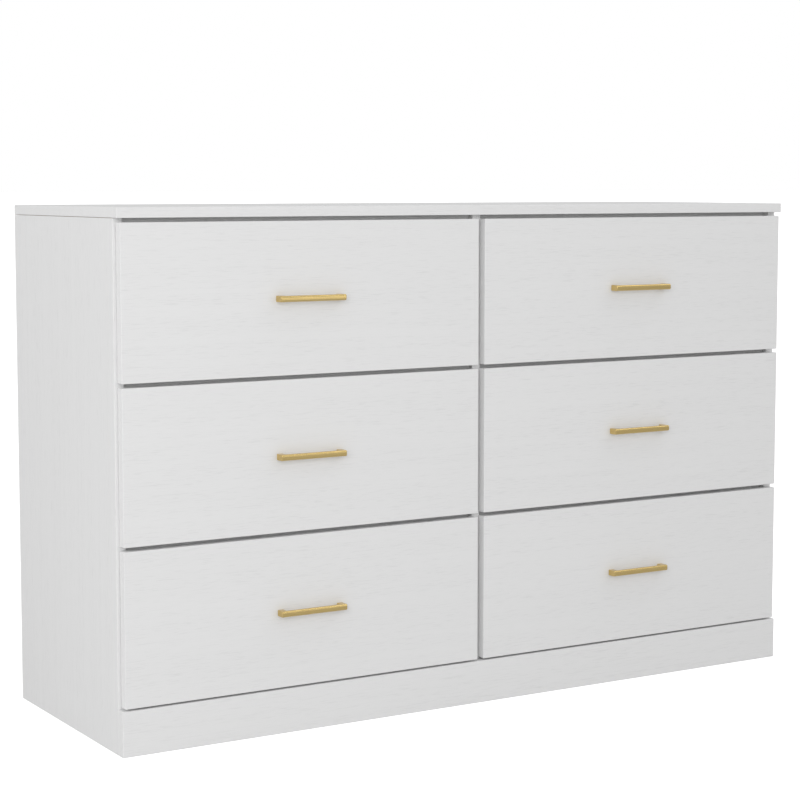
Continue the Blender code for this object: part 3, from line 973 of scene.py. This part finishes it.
class DRESSER_OT_fittings(bpy.types.Operator):
    """Build the cams, handle screws, corner screws and bumpers"""

    bl_idname = "dresser.fittings"
    bl_label = "Fittings"

    def execute(self, context):
        sizes = context.scene.dresser_sizes
        handle_head, corner_head = pan_head(4.2 * MM), flush_head(3.6 * MM)
        box_cam, cam = cam_face(sizes.box_cam_radius), cam_face(sizes.cam_radius)
        for body in DRAWERS:
            low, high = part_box(f"{body}_handle")
            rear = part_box(f"{body}_front")[1].y
            level = (low.z + high.z) / 2
            legs = (low.x + sizes.handle_leg / 2, high.x - sizes.handle_leg / 2)
            places = [(Vector((x, rear, level)), Y) for x in legs]
            fastened(f"{body}_handle_screws", body, "zinc", handle_head, places)
            cams, corners = [], []
            back_low, back_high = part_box(f"{body}_back")
            for side, sign in SIDES.items():
                low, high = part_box(f"{body}_side_{side}")
                inner, outer = (low.x, high.x) if sign > 0 else (high.x, low.x)
                for z in (low.z + 34 * MM, high.z - 30 * MM):
                    cams.append((Vector((inner, low.y + 24 * MM, z)), -sign * X))
                for z in (low.z + 22 * MM, high.z - 22 * MM):
                    corners.append((Vector((outer, (back_low.y + back_high.y) / 2, z)), sign * X))
            fastened(f"{body}_cams", body, "casting", box_cam, cams)
            fastened(f"{body}_corner_screws", body, "zinc", corner_head, corners)

        cams, bumpers = [], bmesh.new()
        dome = [(0, 0), (sizes.bumper_radius, 0), (sizes.bumper_radius * 0.92, 0.5 * MM)]
        dome += [(sizes.bumper_radius * 0.6, 0.75 * MM), (0, 0.8 * MM)]
        bumper = pattern("bumper", turned(dome, 20))
        for side, sign in SIDES.items():
            low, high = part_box(f"side_panel_{side}")
            inner = low.x if sign > 0 else high.x
            for y in (low.y + 50 * MM, high.y - 70 * MM):
                cams.append((Vector((inner, y, high.z - CAM_BOLT)), -sign * X))
            outer_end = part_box(f"drawer_top_{side}_front")[1 if sign > 0 else 0].x
            middle = (inner + outer_end) / 2
            for row in ("top", "middle", "bottom"):
                front_low, front_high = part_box(f"drawer_{row}_{side}_front")
                for z in (front_low.z + BUMPER_INSET, front_high.z - BUMPER_INSET):
                    stamp(bumpers, bumper, Vector((middle, low.y, z)), -Y)
        low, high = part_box("centre_divider")
        for y in (low.y + 50 * MM, high.y - 60 * MM):
            cams.append((Vector((low.x, y, high.z - CAM_BOLT)), -X))
            cams.append((Vector((low.x, y, low.z + CAM_BOLT)), -X))
        low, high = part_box("bottom_panel")
        for x in (low.x + CAM_BOLT, high.x - CAM_BOLT):
            for y in (low.y + 50 * MM, high.y - 90 * MM):
                cams.append((Vector((x, y, low.z)), -Z))
        fastened("carcass_cams", CARCASS, "casting", cam, cams)
        piece("bumpers", bumpers, [finish(moulded_plastic, "bumper")], CARCASS)
        return {"FINISHED"}


class DRESSER_OT_studio(bpy.types.Operator):
    """Build the floor, lamps, surroundings and camera"""

    bl_idname = "dresser.studio"
    bl_label = "Studio"

    def execute(self, context):
        scene, studio = context.scene, context.scene.dresser_studio
        scene.view_settings.view_transform = "Standard"
        shape = bmesh.new()
        bmesh.ops.create_grid(shape, x_segments=1, y_segments=1, size=200.0)
        mesh = bpy.data.meshes.new("studio_floor")
        shape.to_mesh(mesh)
        shape.free()
        mesh.materials.append(finish(studio_floor))
        floor = bpy.data.objects.new("studio_floor", mesh)
        scene.collection.objects.link(floor)

        centre = Vector((0, 0, 0.40))
        lamp("key_lamp", Vector((-2.0, -2.6, 1.3)), centre, 1.8, 1.4, studio.key)
        lamp("side_lamp", Vector((-3.2, 0.0, 1.3)), centre, 1.6, 1.6, studio.side)
        lamp("high_lamp", Vector((1.65, -1.05, 2.9)), centre, 1.2, 1.2, studio.high)
        lamp("front_lamp", Vector((1.5, -3.4, 0.8)), centre, 1.0, 1.0, studio.front)
        surroundings(studio.ambient)

        data = bpy.data.cameras.new("camera")
        data.lens, data.sensor_width = studio.lens, 36.0
        data.shift_y = CAMERA_SHIFT
        camera = bpy.data.objects.new("camera", data)
        camera.location = CAMERA_PLACE
        camera.rotation_euler = CAMERA_AIM.to_track_quat("-Z", "Y").to_euler()
        scene.collection.objects.link(camera)
        scene.camera = camera
        return {"FINISHED"}


def lamp(name, place, target, width, height, watts):
    """A soft rectangular lamp that faces a point."""
    data = bpy.data.lights.new(name, "AREA")
    data.shape, data.size, data.size_y, data.energy = "RECTANGLE", width, height, watts
    made = bpy.data.objects.new(name, data)
    made.location = place
    made.rotation_euler = (target - place).to_track_quat("-Z", "Y").to_euler()
    bpy.context.scene.collection.objects.link(made)


def surroundings(ambient):
    """A white backdrop that lights the room more softly than it shows."""
    world = bpy.data.worlds.new("studio")
    world.use_nodes = True
    tree = world.node_tree
    seen = add(tree, "Background", {"Color": (1, 1, 1, 1), "Strength": 1.0})
    lights = add(tree, "Background", {"Color": (1, 1, 1, 1), "Strength": ambient})
    ray = add(tree, "LightPath", {}).outputs["Is Camera Ray"]
    mixed = add(tree, "MixShader", {0: ray, 1: lights.outputs["Background"], 2: seen.outputs["Background"]})
    tree.links.new(mixed.outputs["Shader"], tree.nodes["World Output"].inputs["Surface"])
    bpy.context.scene.world = world


class DRESSER_PT_builder(bpy.types.Panel):
    bl_label = "Six-drawer dresser"
    bl_space_type = "VIEW_3D"
    bl_region_type = "UI"
    bl_category = "Dresser"

    def draw(self, context):
        for operator in OPERATORS:
            self.layout.operator(operator.bl_idname)
        for group in ("dresser_sizes", "dresser_colours", "dresser_studio"):
            values = getattr(context.scene, group)
            box = self.layout.box()
            for name in values.bl_rna.properties.keys():
                if name not in ("rna_type", "name"):
                    box.prop(values, name)


OPERATORS = (
    DRESSER_OT_studio,
    DRESSER_OT_panels,
    DRESSER_OT_back,
    DRESSER_OT_fronts,
    DRESSER_OT_boxes,
    DRESSER_OT_handles,
    DRESSER_OT_slides,
    DRESSER_OT_fittings,
)
GROUPS = {"dresser_sizes": DresserSizes, "dresser_colours": DresserColours, "dresser_studio": DresserStudio}


def register():
    for made in (*GROUPS.values(), *OPERATORS, DRESSER_PT_builder):
        bpy.utils.register_class(made)
    for name, group in GROUPS.items():
        setattr(bpy.types.Scene, name, PointerProperty(type=group))


def unregister():
    for name in GROUPS:
        delattr(bpy.types.Scene, name)
    for made in reversed((*GROUPS.values(), *OPERATORS, DRESSER_PT_builder)):
        bpy.utils.unregister_class(made)


def main():
    register()
    for operator in OPERATORS:
        getattr(bpy.ops.dresser, operator.bl_idname.split(".")[1])()


if __name__ == "__main__":
    main()
